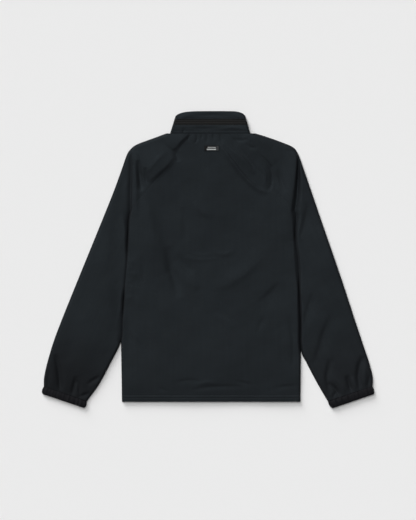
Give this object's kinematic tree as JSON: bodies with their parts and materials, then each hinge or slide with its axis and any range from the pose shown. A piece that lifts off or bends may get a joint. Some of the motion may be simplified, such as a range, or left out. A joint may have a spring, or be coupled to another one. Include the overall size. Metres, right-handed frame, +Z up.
{
  "type": "windbreaker",
  "caption": "Black windbreaker laid flat with its back up: raglan sleeves, gathered elastic cuffs, stand collar with a hood zip across it, straight hem and a closed front zip below.",
  "frame": {"origin": "on the floor under the middle of the laid-out jacket's outline", "axes": "+X from the wearer's left cuff to the right cuff, +Y from the hem towards the collar, +Z up, out of the jacket's back"},
  "size_m": [0.847, 0.7568, 0.0108],
  "materials": {
    "shell_cloth": "plain-woven nylon, soft sheen",
    "cuff_cloth": "plain-woven nylon gathered on elastic",
    "zip_tape": "woven polyester zip tape with a nylon coil",
    "label_weave": "damask-woven label, plain",
    "zip_metal": "black lacquered die-cast zinc"
  },
  "bodies": {
    "root": {"back_panel": "shell_cloth", "front_left": "shell_cloth", "front_right": "shell_cloth", "sleeve_left": "shell_cloth", "sleeve_right": "shell_cloth", "cuff_left": "cuff_cloth", "cuff_right": "cuff_cloth", "collar_lower": "shell_cloth", "collar_upper": "shell_cloth", "hood_zip": "zip_tape", "back_label": "label_weave", "front_zip": "zip_tape", "zip_slider": "zip_metal"}
  },
  "joints": []
}
